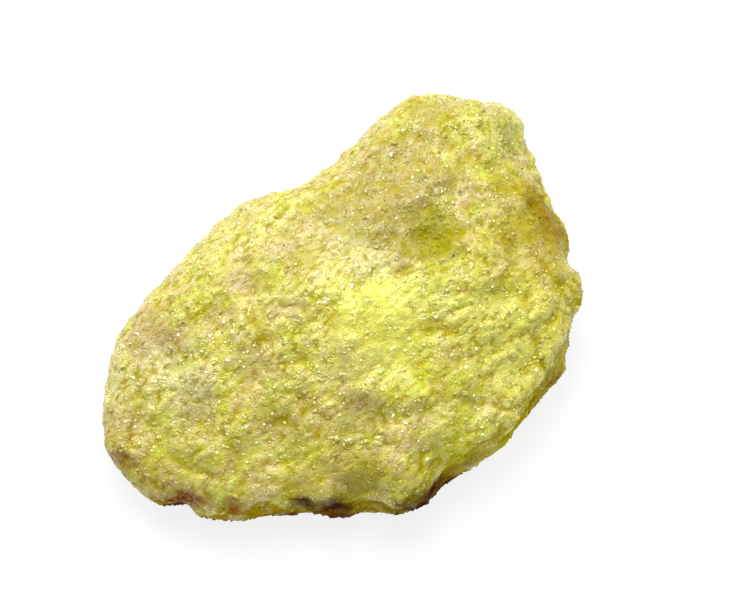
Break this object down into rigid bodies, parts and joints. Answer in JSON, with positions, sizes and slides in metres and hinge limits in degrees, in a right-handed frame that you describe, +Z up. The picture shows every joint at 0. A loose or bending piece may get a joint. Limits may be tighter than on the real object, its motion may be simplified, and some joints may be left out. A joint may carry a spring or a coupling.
{
  "type": "native sulfur specimen",
  "caption": "Hand-sized lump of massive, sugary-grained native sulfur with a rough domed top, lying on its broad flat underside",
  "frame": {"origin": "middle of the underside: the centre of the box's bottom face, so the lump stands on Z = 0", "axes": "+X along the long side, to the right when seen from the front; +Y towards the blunt tip at the back; +Z up, across the thickness"},
  "size_m": [0.0996, 0.0964, 0.0345],
  "materials": {
    "native_sulfur": "satin"
  },
  "bodies": {
    "root": {"sulfur_crystal": "native_sulfur"}
  },
  "joints": []
}
